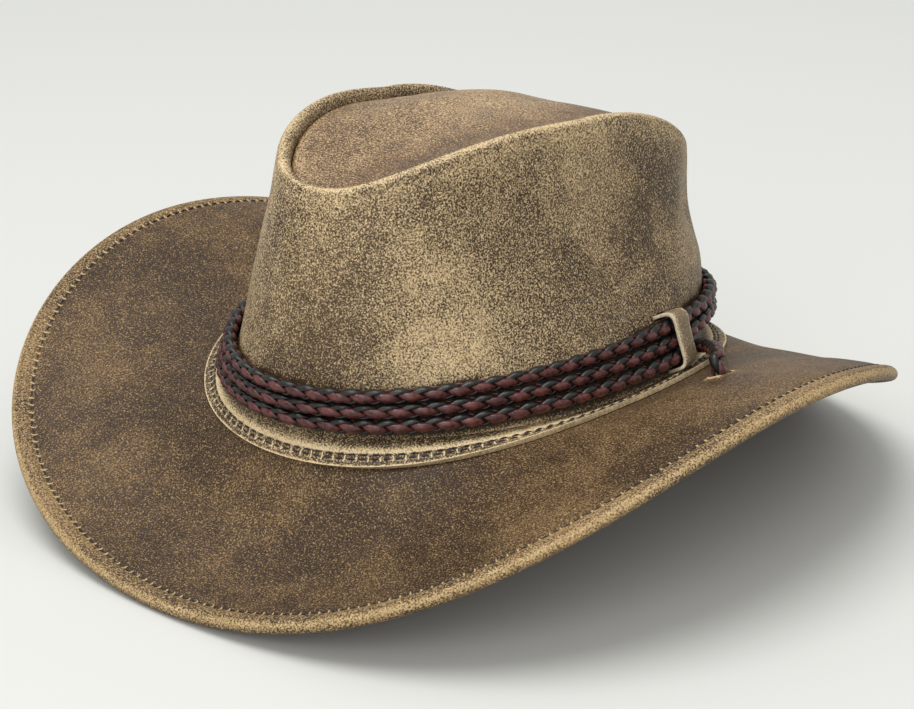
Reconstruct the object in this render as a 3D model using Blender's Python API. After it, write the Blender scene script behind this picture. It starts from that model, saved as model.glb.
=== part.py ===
"""Leather outback hat with a wired brim and a braided cord band, as separate pieces.

Millimetres and degrees are used up to the last step, which writes metres. The front of the hat
faces -Y, the wearer's left is +X and +Z is up. The angle u runs round the hat from the front (0)
over the wearer's left (90) to the back (180). The origin is in the middle of the head opening.
"""
import math

import bmesh
import bpy
import numpy as np

MM = 0.001

# Leather and clearances
GAP = 0.3
WALL_LEATHER = 1.8
BRIM_LEATHER = 1.5
TIP_LEATHER = 1.8
SWEAT_LEATHER = 1.4
STRAP_LEATHER = 1.4

# Head opening: the crown wall's outer oval where it meets the brim
HEAD_LENGTH = 202.0
HEAD_WIDTH = 171.0
BREAK_HEIGHT = (-2.6, 3.2, 2.6)  # height of that line at the front, side and back

# Brim, each as (front, side, back)
BRIM_WIDTH = (66.0, 87.2, 86.2)
BRIM_ROOT_ANGLE = (-48.0, 28.6, -70.7)
BRIM_EDGE_ANGLE = (-28.0, 6.0, 4.6)
BRIM_ROOT = 4.0
HEM_TURN = 13.0

# Crown
RIDGE_FRONT = 103.0
RIDGE_BACK = 81.5
RIDGE_WIDTH = 106.0
RIDGE_FLARE = 0.06  # share by which the ridge is wider at the front and narrower at the back
RIDGE_SQUARE_FRONT = 2.76
RIDGE_SQUARE_BACK = 2.28
RIDGE_HEIGHT = (61.3, 103.7, 90.9)
LEFT_DIP = 9.0  # the ridge is pressed lower in front of the wearer's left side
LEFT_DIP_ANGLE = 60.0
LEFT_DIP_SPREAD = 40.0
RIDGE_ROLL = 3.5
RIDGE_LEG = 5.0
WALL_BULGE = (8.5, -7.8, 3.2)
PINCH_ANGLE = 36.0
PINCH_SPREAD = 13.0
PINCH_DEPTH = 6.0
PINCH_LEVEL = 0.72
PINCH_REACH = 0.2
FLANGE_WIDTH = 9.5
FLANGE_BEND = 2.4
FLANGE_CORNER = 0.6
TIP_SUNK = 1.5
TIP_CENTRE_HEIGHT = 102.2

# Sweatband
SWEAT_HEIGHT = 36.0
SWEAT_SEAM = 2.0

# Brim wire and its joining sleeve
WIRE_DIAMETER = 1.2
SLEEVE_WALL = 0.3
SLEEVE_LENGTH = 12.0
WIRE_END_GAP = 1.0
WIRE_JOIN_ANGLE = 160.0

# Hat band, its keepers and the knots under the brim
CORD_DIAMETER = 5.2
CORD_PITCH = 5.9
BAND_PASSES = 3
CORD_LEVEL = 7.3
KEEPER_ANGLE = 72.0
KEEPER_WIDTH = 9.5
KEEPER_GAP = 0.55
BAND_START_ANGLE = 60.0
SLIT_ANGLE = 82.0
SLIT_DISTANCE = 31.0
SLIT_LENGTH = 10.8
CORD_SLIT_GAP = 0.4
TAIL_LEAVES = 14.0  # how far each tail runs on past the winding, and straight before its slit
TAIL_ARRIVES = 4.0
TAIL_ARCH = 11.4
TAIL_CLEARS = 6.2
TAIL_DRIFT = 2.0
KNOT_DIAMETER = 11.0
KNOT_HEIGHT = 8.0

# Steps round the hat and round a tube
STEPS = 64
TUBE_SIDES = 8
CORD_SIDES = 6
CORD_POINTS_A_TURN = 24

LEATHER = (0.20, 0.145, 0.09)
LEATHER_WORN = (0.34, 0.27, 0.18)


def around(front_side_back, u):
    """A value that runs smoothly from front over side to back."""
    front, side, back = front_side_back
    c = math.cos(u)
    return side * math.sin(u) ** 2 + (front + back) / 2 * c * c + (front - back) / 2 * c


def base_point(u):
    return np.array([HEAD_WIDTH / 2 * math.sin(u), -HEAD_LENGTH / 2 * math.cos(u), around(BREAK_HEIGHT, u)])


def base_normal(u):
    normal = np.array([HEAD_LENGTH * math.sin(u), -HEAD_WIDTH * math.cos(u), 0.0])
    return normal / np.linalg.norm(normal)


def brim_width(u):
    return around(BRIM_WIDTH, u)


def brim_point(u, distance, lift=0.0):
    """A point over the brim's upper face, at a distance from the crown along the brim."""
    root = math.radians(around(BRIM_ROOT_ANGLE, u))
    edge = math.radians(around(BRIM_EDGE_ANGLE, u))
    share = distance / brim_width(u)
    steps = (np.arange(24) + 0.5) / 24 * share
    angles = root + (edge - root) * steps
    out = np.cos(angles).mean() * distance
    up = np.sin(angles).mean() * distance
    angle = root + (edge - root) * share
    normal = base_normal(u)
    out -= math.sin(angle) * lift
    up += math.cos(angle) * lift
    return base_point(u) + normal * out + np.array([0.0, 0.0, up])


def power(value, square):
    return math.copysign(abs(value) ** (2.0 / square), value)


def ridge_point(u):
    c = math.cos(u)
    s = math.sin(u)
    square = RIDGE_SQUARE_FRONT if c > 0 else RIDGE_SQUARE_BACK
    middle = (RIDGE_BACK - RIDGE_FRONT) / 2
    half = (RIDGE_BACK + RIDGE_FRONT) / 2
    across = RIDGE_WIDTH / 2 * power(s, square) * (1.0 + RIDGE_FLARE * c)
    turn = (math.degrees(u) - LEFT_DIP_ANGLE + 180.0) % 360.0 - 180.0
    height = around(RIDGE_HEIGHT, u) - LEFT_DIP * math.exp(-(turn / LEFT_DIP_SPREAD) ** 2)
    return np.array([across, middle - half * power(c, square), height])


def ridge_normal(u):
    """The level outward direction at the ridge."""
    step = math.radians(1.5)
    along = ridge_point(u + step) - ridge_point(u - step)
    normal = np.array([along[1], -along[0], 0.0])
    return normal / np.linalg.norm(normal)


def wall_top(u):
    return ridge_point(u) - np.array([0.0, 0.0, RIDGE_ROLL])


def pinch(u, share):
    """Depth of the dent on either side of the front."""
    turn = abs((math.degrees(u) + 180.0) % 360.0 - 180.0)
    across = math.exp(-((turn - PINCH_ANGLE) / PINCH_SPREAD) ** 2)
    upwards = math.exp(-((share - PINCH_LEVEL) / PINCH_REACH) ** 2)
    return PINCH_DEPTH * across * upwards * (1.0 - share) * 4.0 * share


def wall_point(u, share):
    """A point of the wall's outer face, from the brim (0) to the foot of the ridge roll (1)."""
    bulge = around(WALL_BULGE, u) * 4.0 * share * (1.0 - share) - pinch(u, share)
    return base_point(u) * (1.0 - share) + wall_top(u) * share + base_normal(u) * bulge


def wall_normal(u, share):
    step = 0.01
    across = wall_point(u + step, share) - wall_point(u - step, share)
    upwards = wall_point(u, share + step) - wall_point(u, share - step)
    normal = np.cross(across, upwards)
    return normal / np.linalg.norm(normal)


def wall_share(u, height):
    """The share of the wall that lies below a height over the brim."""
    return height / (wall_top(u)[2] - base_point(u)[2])


def over_wall(u, height, out):
    share = wall_share(u, height)
    return wall_point(u, share) + wall_normal(u, share) * out


def turns(steps):
    return [2.0 * math.pi * i / steps for i in range(steps)]


def grid_normals(grid):
    """Unit normals of a grid that closes round its first index."""
    across = np.roll(grid, -1, axis=0) - np.roll(grid, 1, axis=0)
    along = np.gradient(grid, axis=1)
    normals = np.cross(across, along)
    return normals / np.linalg.norm(normals, axis=2, keepdims=True)


def leather(name, colour, roughness, metallic=0.0):
    material = bpy.data.materials.new(name)
    material.use_nodes = True
    shader = material.node_tree.nodes["Principled BSDF"]
    shader.inputs["Base Color"].default_value = (*colour, 1.0)
    shader.inputs["Roughness"].default_value = roughness
    shader.inputs["Metallic"].default_value = metallic
    return material


def finish(name, bm, material):
    """Turn a bmesh in millimetres into one named object in metres."""
    bmesh.ops.scale(bm, vec=(MM, MM, MM), verts=bm.verts)
    bmesh.ops.recalc_face_normals(bm, faces=bm.faces)
    mesh = bpy.data.meshes.new(name)
    bm.to_mesh(mesh)
    bm.free()
    mesh.shade_smooth()
    mesh.set_sharp_from_angle(angle=math.radians(50))
    mesh.materials.append(material)
    piece = bpy.data.objects.new(name, mesh)
    bpy.context.scene.collection.objects.link(piece)
    return piece


def sweep(bm, sections, closed):
    """Skin equal sections one after the other, capped at the ends unless closed."""
    rings = [[bm.verts.new(point) for point in section] for section in sections]
    pairs = list(zip(rings, rings[1:]))
    if closed:
        pairs.append((rings[-1], rings[0]))
    for low, high in pairs:
        for i in range(len(low)):
            j = (i + 1) % len(low)
            bm.faces.new((low[i], low[j], high[j], high[i]))
    if not closed:
        bm.faces.new(rings[0])
        bm.faces.new(rings[-1])


def tube_sections(points, radius, sides, closed):
    """Round sections along a path, turned as little as possible from one to the next."""
    points = [np.asarray(point, float) for point in points]
    count = len(points)
    tangents = []
    for i in range(count):
        before = points[i - 1] if closed or i > 0 else points[i]
        after = points[(i + 1) % count] if closed or i < count - 1 else points[i]
        tangents.append((after - before) / np.linalg.norm(after - before))
    side = np.cross(tangents[0], (0.0, 0.0, 1.0))
    if np.linalg.norm(side) < 0.1:
        side = np.cross(tangents[0], (0.0, 1.0, 0.0))
    sections = []
    for point, tangent in zip(points, tangents):
        side = side - tangent * side.dot(tangent)
        side /= np.linalg.norm(side)
        other = np.cross(tangent, side)
        angles = turns(sides)
        sections.append([point + (side * math.cos(a) + other * math.sin(a)) * radius for a in angles])
    return sections


def channel_radius():
    return WIRE_DIAMETER / 2 + GAP + SLEEVE_WALL + GAP


def roll_radius():
    return channel_radius() + BRIM_LEATHER


def flange_distances():
    """Where the brim under the crown's flange, and the flange on it, have their points."""
    return [BRIM_ROOT, (FLANGE_WIDTH + BRIM_ROOT) / 2, FLANGE_WIDTH]


def hem_line(u):
    """The middle of the leather from the head opening to the cut edge of the turned hem."""
    width = brim_width(u)
    radius = roll_radius()
    middle = -BRIM_LEATHER / 2
    distances = flange_distances() + list(np.linspace(FLANGE_WIDTH, width - radius, 6)[1:])
    line = [(distance, middle) for distance in distances]
    for degrees in (54, 18, -18, -54, -90, -126, -152):
        a = math.radians(degrees)
        r = radius - BRIM_LEATHER / 2
        line.append((width - radius + r * math.cos(a), -radius + r * math.sin(a)))
    under = -1.5 * BRIM_LEATHER - GAP
    line.append((width - 2.0 * radius - BRIM_LEATHER, under))
    line.append((width - HEM_TURN, under))
    return np.array(line)


def leather_section(line, thickness):
    """The outline of a strip of leather that follows a line."""
    along = np.gradient(line, axis=0)
    along /= np.linalg.norm(along, axis=1, keepdims=True)
    normal = np.stack([-along[:, 1], along[:, 0]], axis=1)
    left = line + normal * thickness / 2
    right = line - normal * thickness / 2
    return np.concatenate([left, right[::-1]])


def make_brim():
    bm = bmesh.new()
    sections = []
    for u in turns(STEPS):
        outline = leather_section(hem_line(u), BRIM_LEATHER)
        sections.append([brim_point(u, distance, lift) for distance, lift in outline])
    sweep(bm, sections, True)
    piece = finish("brim", bm, leather("brim_leather", LEATHER, 0.6))
    for side in (-1, 1):
        cut(piece, slit_cutter(side))
    return piece


def wall_rows(u):
    """The outer face of the crown wall from the flange's cut edge over the ridge roll."""
    lift = GAP + WALL_LEATHER
    rows = [brim_point(u, distance, lift) for distance in reversed(flange_distances())]
    foot = rows.pop()
    corner = brim_point(u, FLANGE_CORNER, lift)
    start = wall_share(u, FLANGE_BEND)
    head = wall_point(u, start)
    for t in (0.0, 0.35, 0.7, 1.0):
        rows.append(foot * (1 - t) ** 2 + corner * 2 * t * (1 - t) + head * t * t)
    for share in np.linspace(start, 1.0, 8)[1:]:
        rows.append(wall_point(u, share))
    centre = wall_top(u) - ridge_normal(u) * RIDGE_ROLL
    up = np.array([0.0, 0.0, RIDGE_ROLL])
    for degrees in (40, 80, 120, 160):
        a = math.radians(degrees)
        rows.append(centre + ridge_normal(u) * RIDGE_ROLL * math.cos(a) + up * math.sin(a))
    rows.append(centre - ridge_normal(u) * RIDGE_ROLL - np.array([0.0, 0.0, RIDGE_LEG]))
    return rows


def make_crown_wall():
    outer = np.array([wall_rows(u) for u in turns(STEPS)])
    inner = outer - grid_normals(outer) * WALL_LEATHER
    for i, u in enumerate(turns(STEPS)):
        for k, distance in enumerate(reversed(flange_distances())):
            inner[i, k] = brim_point(u, distance, GAP)
    bm = bmesh.new()
    sweep(bm, [np.concatenate([a, b[::-1]]) for a, b in zip(outer, inner)], True)
    piece = finish("crown_wall", bm, leather("crown_leather", LEATHER_WORN, 0.62))
    for side in (-1, 1):
        for height in keeper_heights():
            cut(piece, keeper_cutter(side, height))
    return piece


def tip_centre():
    return np.array([0.0, (RIDGE_BACK - RIDGE_FRONT) / 2, TIP_CENTRE_HEIGHT])


def tip_rows(u):
    """The upper face of the tip from the lower edge of its lip to near the middle."""
    normal = ridge_normal(u)
    seam = wall_top(u) - normal * (2 * RIDGE_ROLL + GAP)
    drop = np.array([0.0, 0.0, RIDGE_LEG])
    rows = [seam - drop]
    edge = seam - np.array([0.0, 0.0, TIP_SUNK])
    rows.append(edge - np.array([0.0, 0.0, TIP_LEATHER]))
    rim = edge - normal * TIP_LEATHER
    middle = tip_centre()
    for share in (1.0, 0.8, 0.6, 0.4, 0.2):
        point = middle + (rim - middle) * share
        point[2] = middle[2] + (rim[2] - middle[2]) * share ** 2
        rows.append(point)
    return rows


def make_crown_tip():
    upper = np.array([tip_rows(u) for u in turns(STEPS)])
    lower = upper - grid_normals(upper) * TIP_LEATHER
    bm = bmesh.new()
    top = [[bm.verts.new(point) for point in row] for row in upper]
    bottom = [[bm.verts.new(point) for point in row] for row in lower]
    for i in range(STEPS):
        j = (i + 1) % STEPS
        for k in range(upper.shape[1] - 1):
            bm.faces.new((top[i][k], top[j][k], top[j][k + 1], top[i][k + 1]))
            bm.faces.new((bottom[i][k], bottom[i][k + 1], bottom[j][k + 1], bottom[j][k]))
        bm.faces.new((top[i][0], bottom[i][0], bottom[j][0], top[j][0]))
    for rows, drop in ((top, 0.0), (bottom, TIP_LEATHER)):
        centre = bm.verts.new(tip_centre() - np.array([0.0, 0.0, drop]))
        for i in range(STEPS):
            bm.faces.new((rows[i][-1], rows[(i + 1) % STEPS][-1], centre))
    return finish("crown_tip", bm, leather("tip_leather", LEATHER_WORN, 0.5))


def make_sweatband():
    """A strip sewn in at its lower edge, standing off the wall by the keepers' thickness."""
    sections = []
    stand_off = WALL_LEATHER + KEEPER_GAP + STRAP_LEATHER + KEEPER_GAP
    foot = keeper_heights()[0] - STRAP_LEATHER / 2 - KEEPER_GAP - SWEAT_SEAM
    for u in turns(STEPS):
        line = [(foot, WALL_LEATHER + GAP), (foot + SWEAT_SEAM, stand_off)]
        line += [(height, stand_off) for height in np.linspace(foot + SWEAT_SEAM, SWEAT_HEIGHT, 5)[1:]]
        face = [over_wall(u, height, -depth) for height, depth in line]
        back = [over_wall(u, height, -depth - SWEAT_LEATHER) for height, depth in reversed(line)]
        sections.append(face + back)
    bm = bmesh.new()
    sweep(bm, sections, True)
    return finish("sweatband", bm, leather("sweatband_leather", (0.10, 0.06, 0.035), 0.45))


def wire_point(u):
    return brim_point(u, brim_width(u) - roll_radius(), -roll_radius())


def wire_join():
    """The two neighbouring points of the edge between which the wire's ends meet."""
    first = round(WIRE_JOIN_ANGLE / 360.0 * STEPS)
    return first, wire_point(turns(STEPS)[first]), wire_point(turns(STEPS)[first + 1])


def along_join(length):
    """A point that lies a length past the middle of the wire's join."""
    _, before, after = wire_join()
    run = (after - before) / np.linalg.norm(after - before)
    return (before + after) / 2 + run * length


def make_wire():
    first, _, _ = wire_join()
    angles = turns(STEPS)
    points = [wire_point(angles[(first + 1 + i) % STEPS]) for i in range(STEPS)]
    points = [along_join(WIRE_END_GAP / 2)] + points + [along_join(-WIRE_END_GAP / 2)]
    bm = bmesh.new()
    sweep(bm, tube_sections(points, WIRE_DIAMETER / 2, CORD_SIDES, False), False)
    return finish("brim_wire", bm, leather("spring_steel", (0.55, 0.55, 0.56), 0.35, 1.0))


def make_sleeve():
    ends = [along_join(-SLEEVE_LENGTH / 2), along_join(SLEEVE_LENGTH / 2)]
    bore = WIRE_DIAMETER / 2 + GAP
    inside = tube_sections(ends, bore, TUBE_SIDES, False)
    outside = tube_sections(ends, bore + SLEEVE_WALL, TUBE_SIDES, False)
    bm = bmesh.new()
    sweep(bm, outside + inside[::-1], True)
    return finish("wire_sleeve", bm, leather("sleeve_brass", (0.7, 0.55, 0.28), 0.3, 1.0))


def cord_height(level):
    return CORD_LEVEL + level * CORD_PITCH


def cord_out():
    """Distance of the cord's middle from the wall, so that the straight between two points clears it."""
    rise = HEAD_LENGTH / 2 * (1.0 - math.cos(math.pi / CORD_POINTS_A_TURN))
    return GAP + rise + CORD_DIAMETER / 2


def slit_point(side, lift):
    return brim_point(side * math.radians(SLIT_ANGLE), SLIT_DISTANCE, lift)


def band_level(turn):
    """The level of the winding: it climbs only while it passes the front."""
    climb = math.radians(2 * BAND_START_ANGLE)
    level = 0.0
    for lap in range(1, BAND_PASSES):
        passed = (turn - (2 * math.pi * lap - climb)) / climb
        level += 0.5 - 0.5 * math.cos(math.pi * min(max(passed, 0.0), 1.0))
    return level


def band_route():
    """One cord: up through the right slit, round the crown, and down through the left slit."""
    start = math.radians(BAND_START_ANGLE)
    total = 2 * math.pi * BAND_PASSES - 2 * start
    count = int(CORD_POINTS_A_TURN * total / (2 * math.pi))
    wound = []
    for i in range(count + 1):
        turn = total * i / count
        u = -start - turn
        wound.append(over_wall(u, cord_height(band_level(turn)), cord_out()))
    first = tail(-1, wound[0], wound[1])
    last = tail(1, wound[-1], wound[-2])
    return first[::-1] + wound + last


def tail(side, end, before):
    """Points from the end of the winding to the cord's end under its slit."""
    run = end - before
    run /= np.linalg.norm(run)
    under = slit_point(side, -BRIM_LEATHER - CORD_DIAMETER)
    over = slit_point(side, CORD_DIAMETER)
    far = slit_point(side, TAIL_ARCH)
    u = side * math.radians(BAND_START_ANGLE)
    out = base_normal(u)
    clear = TAIL_CLEARS + CORD_PITCH * (1 + side) / 2
    leaves = end + run * TAIL_LEAVES + out * clear
    arrives = far + run * TAIL_ARRIVES + out * TAIL_DRIFT
    controls = [end, leaves, arrives, over]
    points = []
    for t in np.linspace(0.0, 1.0, 12)[1:]:
        weights = ((1 - t) ** 3, 3 * t * (1 - t) ** 2, 3 * t * t * (1 - t), t ** 3)
        points.append(sum(weight * control for weight, control in zip(weights, controls)))
    return points + [under]


def least_gap(points):
    """The least gap of the cord to itself, between points that lie well apart along it."""
    points = np.array(points)
    steps = np.linalg.norm(np.diff(points, axis=0), axis=1)
    along = np.concatenate([[0.0], np.cumsum(steps)])
    fine = np.linspace(0.0, along[-1], 1600)
    path = np.stack([np.interp(fine, along, points[:, k]) for k in range(3)], axis=1)
    apart = np.linalg.norm(path[:, None] - path[None], axis=2)
    near = np.abs(fine[:, None] - fine[None]) < 4 * CORD_DIAMETER
    apart[near] = 1e9
    return apart.min() - CORD_DIAMETER


def make_hat_band():
    route = band_route()
    print("least gap of the hat band to itself, mm:", round(float(least_gap(route)), 2))
    bm = bmesh.new()
    sweep(bm, tube_sections(route, CORD_DIAMETER / 2, CORD_SIDES, False), False)
    return finish("hat_band", bm, leather("band_leather", (0.16, 0.05, 0.045), 0.4))


def keeper_heights():
    """Heights of the lower and the upper leg of a keeper."""
    reach = CORD_DIAMETER / 2 + GAP + STRAP_LEATHER / 2
    return cord_height(0) - reach, cord_height(BAND_PASSES - 1) + reach


def keeper_frame(side, height):
    """A point on the wall with the directions out of it and along it."""
    u = side * math.radians(KEEPER_ANGLE)
    share = wall_share(u, height)
    out = wall_normal(u, share)
    along = wall_point(u + 0.01, share) - wall_point(u - 0.01, share)
    along -= out * along.dot(out)
    return wall_point(u, share), out, along / np.linalg.norm(along)


def make_keeper(side, name):
    """A closed strap through two slits of the wall, over the cords and back inside."""
    low, high = keeper_heights()
    outside = cord_out() + CORD_DIAMETER / 2 + GAP + STRAP_LEATHER / 2
    inside = -WALL_LEATHER - KEEPER_GAP - STRAP_LEATHER / 2
    soft = STRAP_LEATHER
    route = [(low, inside + soft), (low, outside - soft), (low + soft, outside)]
    route += [((low + high) / 2, outside), (high - soft, outside), (high, outside - soft)]
    route += [(high, inside + soft), (high - soft, inside), ((low + high) / 2, inside), (low + soft, inside)]
    line = []
    for height, out in route:
        point, normal, along = keeper_frame(side, height)
        line.append((point + normal * out, along))
    sections = []
    for i, (point, along) in enumerate(line):
        run = line[(i + 1) % len(line)][0] - line[i - 1][0]
        run /= np.linalg.norm(run)
        thick = np.cross(along, run) * STRAP_LEATHER / 2
        wide = along * KEEPER_WIDTH / 2
        sections.append([point - wide - thick, point + wide - thick, point + wide + thick, point - wide + thick])
    bm = bmesh.new()
    sweep(bm, sections, True)
    return finish(name, bm, leather(name + "_leather", LEATHER_WORN, 0.6))


def box_cutter(name, centre, axes, sizes):
    bm = bmesh.new()
    corners = []
    for x in (-0.5, 0.5):
        for y, z in ((-0.5, -0.5), (0.5, -0.5), (0.5, 0.5), (-0.5, 0.5)):
            corners.append(centre + axes[0] * sizes[0] * x + axes[1] * sizes[1] * y + axes[2] * sizes[2] * z)
    sweep(bm, [corners[:4], corners[4:]], False)
    piece = finish(name, bm, bpy.data.materials.new(name))
    piece.hide_render = True
    piece.display_type = "WIRE"
    return piece


def keeper_cutter(side, height):
    centre, out, along = keeper_frame(side, height)
    axes = (out, along, np.cross(out, along))
    sizes = (4 * WALL_LEATHER, KEEPER_WIDTH + 2 * KEEPER_GAP, STRAP_LEATHER + 2 * KEEPER_GAP)
    return box_cutter("slit_%d_%d" % (side, int(height)), centre, axes, sizes)


def slit_cutter(side):
    """The slit in the brim that a cord's end goes through."""
    centre = slit_point(side, -BRIM_LEATHER / 2)
    out = slit_point(side, 1.0) - slit_point(side, 0.0)
    out /= np.linalg.norm(out)
    u = side * math.radians(SLIT_ANGLE)
    along = brim_point(u + 0.01, SLIT_DISTANCE) - brim_point(u - 0.01, SLIT_DISTANCE)
    along -= out * along.dot(out)
    along /= np.linalg.norm(along)
    hole = CORD_DIAMETER + 2 * CORD_SLIT_GAP
    return box_cutter("cord_slit_%d" % side, centre, (out, along, np.cross(out, along)),
                      (4 * BRIM_LEATHER, SLIT_LENGTH, hole))


def cut(piece, cutter):
    modifier = piece.modifiers.new(cutter.name, "BOOLEAN")
    modifier.operation = "DIFFERENCE"
    modifier.object = cutter
    modifier.solver = "EXACT"


def make_knot(side, name):
    """The cord's end, tied in a round knot that can't pass the slit."""
    top = slit_point(side, -BRIM_LEATHER - CORD_DIAMETER - GAP)
    down = slit_point(side, -1.0) - slit_point(side, 0.0)
    down /= np.linalg.norm(down)
    profile = ((0.0, 0.62), (0.22, 0.92), (0.5, 1.0), (0.78, 0.86), (1.0, 0.5))
    points = [top + down * KNOT_HEIGHT * share for share, _ in profile]
    sections = []
    for point, (_, swell) in zip(points, profile):
        ring = tube_sections([top, top + down], KNOT_DIAMETER / 2 * swell, 12, False)[0]
        sections.append([corner - top + point for corner in ring])
    bm = bmesh.new()
    sweep(bm, sections, False)
    return finish(name, bm, leather(name + "_leather", (0.05, 0.03, 0.03), 0.45))


def build():
    for old in list(bpy.data.objects):
        bpy.data.objects.remove(old, do_unlink=True)
    make_brim()
    make_wire()
    make_sleeve()
    make_crown_wall()
    make_crown_tip()
    make_sweatband()
    make_hat_band()
    make_keeper(-1, "keeper_right")
    make_keeper(1, "keeper_left")
    make_knot(-1, "band_knot_right")
    make_knot(1, "band_knot_left")


build()
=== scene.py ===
import math

import bpy
import numpy as np
from mathutils import Matrix, Vector, noise


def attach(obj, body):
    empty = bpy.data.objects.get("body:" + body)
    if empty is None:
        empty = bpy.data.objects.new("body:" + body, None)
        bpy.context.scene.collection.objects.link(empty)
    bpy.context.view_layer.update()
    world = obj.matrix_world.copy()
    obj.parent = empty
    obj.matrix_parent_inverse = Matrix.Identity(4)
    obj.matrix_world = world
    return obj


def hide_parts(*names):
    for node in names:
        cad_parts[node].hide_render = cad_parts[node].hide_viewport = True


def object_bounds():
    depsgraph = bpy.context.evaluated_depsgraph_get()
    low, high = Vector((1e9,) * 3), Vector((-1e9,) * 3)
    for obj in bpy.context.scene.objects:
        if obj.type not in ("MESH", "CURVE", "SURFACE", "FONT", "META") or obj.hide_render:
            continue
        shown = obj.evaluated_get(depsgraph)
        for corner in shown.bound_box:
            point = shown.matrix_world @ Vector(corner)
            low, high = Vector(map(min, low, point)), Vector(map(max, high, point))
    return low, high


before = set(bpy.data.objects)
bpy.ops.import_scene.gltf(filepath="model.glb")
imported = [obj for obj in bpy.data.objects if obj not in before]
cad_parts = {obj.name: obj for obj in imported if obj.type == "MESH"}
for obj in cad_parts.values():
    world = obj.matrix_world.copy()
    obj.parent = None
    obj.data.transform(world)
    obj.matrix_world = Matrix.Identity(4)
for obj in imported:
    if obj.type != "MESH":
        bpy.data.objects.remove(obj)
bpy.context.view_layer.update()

# Brim
# A wide ring of thick oiled leather, wetted and pressed into a saddle shape. Its outer edge is
# turned under over a springy wire and sewn down, and the crown is sewn on along its inner edge.
MM = 0.001
LEATHER = 1.8
BRIM_LEATHER = 1.5
GAP = 0.3
HEAD_LENGTH = 202.0
HEAD_WIDTH = 171.0
BREAK_HEIGHT = (-2.6, 3.2, 2.6)  # front, side and back, as in the other triples
BRIM_WIDTH = (66.0, 87.2, 86.2)
BRIM_ROOT_ANGLE = (-48.0, 28.6, -70.7)
BRIM_EDGE_ANGLE = (-28.0, 6.0, 4.6)
BRIM_ROOT = 4.0
HEM_RADIUS = 2.8
SLEEVE_ANGLE = 160.0  # the hem swells a little over the tube that joins the wire
SLEEVE_SPREAD = 5.0
SLEEVE_SWELL = 0.3
HEM_TURN = 13.0
HEM_SEAM = 7.6  # from the outer edge to the row of stitches
HEM_PITCH = 4.05
SLIT_ANGLE = 82.0
SLIT_DISTANCE = 31.0
SLIT_LENGTH = 10.8
SLIT_WIDTH = 6.0
SLIT_DEPTH = 8 * LEATHER  # of the punch
SLIT_LIP = 0.9  # how far the leather is pushed up round a slit
SEAM_GROOVE = 1.5  # half the width of the groove that the thread presses
SEAM_DEPTH = 0.5
NEEDLE_DEPTH = 0.3
PUFF = 0.3  # swelling of the leather between the seam and the edge
PUFF_PLACE = 3.2
PUFF_SPREAD = 2.2
BRIM_DENTS = ((42.0, 0.9), (17.0, 0.35))
DENTS_FROM_HEM = 20.0
DENTS_FROM_CROWN = 12.0
BRIM_COLUMNS = 420
BRIM_ROWS = 46
HEM_LEG_ROWS = 3
HEM_DEGREES = np.arange(-160, 90, 10)  # round the wire, from below to the top
SLOPE_STEPS = 24
RUBBED_EDGE = 0.3
SHARP_ANGLE = 70.0  # edges sharper than this are rubbed round
SMOOTH_ANGLE = 50.0
NEARBY = 0.01  # step to the neighbouring places that give a direction


def around(front_side_back, u):
    """A size that runs smoothly from the front over the side to the back of the hat."""
    front, side, back = front_side_back
    c = np.cos(u)
    return side * np.sin(u) ** 2 + (front + back) / 2 * c * c + (front - back) / 2 * c


def unit(vectors):
    return vectors / np.linalg.norm(vectors, axis=-1, keepdims=True)


def square_to(axis, direction):
    """A direction, turned square to an axis."""
    return unit(direction - axis * (direction * axis).sum(-1, keepdims=True))


def run_lengths(points):
    """Length along a line of points, up to each of them."""
    return np.concatenate([[0.0], np.cumsum(np.linalg.norm(np.diff(points, axis=0), axis=1))])


def crown_base(u):
    across = HEAD_WIDTH / 2 * np.sin(u)
    along = -HEAD_LENGTH / 2 * np.cos(u)
    return np.stack([across, along, around(BREAK_HEIGHT, u)], -1)


def base_outward(u):
    return unit(np.stack([HEAD_LENGTH * np.sin(u), -HEAD_WIDTH * np.cos(u), 0.0 * u], -1))


def on_brim(u, distance, lift):
    """Points over the brim's upper face, at a distance from the crown along the brim."""
    u, distance, lift = np.broadcast_arrays(u, distance, lift)
    root = np.radians(around(BRIM_ROOT_ANGLE, u))
    edge = np.radians(around(BRIM_EDGE_ANGLE, u))
    share = distance / around(BRIM_WIDTH, u)
    steps = (np.arange(SLOPE_STEPS) + 0.5) / SLOPE_STEPS
    slopes = root[..., None] + ((edge - root) * share)[..., None] * steps
    slope = root + (edge - root) * share
    out = np.cos(slopes).mean(-1) * distance - np.sin(slope) * lift
    up = np.sin(slopes).mean(-1) * distance + np.cos(slope) * lift
    points = crown_base(u) + base_outward(u) * out[..., None]
    points[..., 2] += up
    return points


def hump(value, middle, spread):
    return np.exp(-((value - middle) / spread) ** 2)


def rolling(points, waves):
    """Soft unevenness of hand-worked leather: how far each point is off, by waves that each have a
    size and a height."""
    off = 0.0
    for size, height in waves:
        heights = [noise.noise(Vector(point / size)) for point in points.reshape(-1, 3)]
        off = off + np.array(heights).reshape(points.shape[:-1]) * height
    return off


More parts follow.
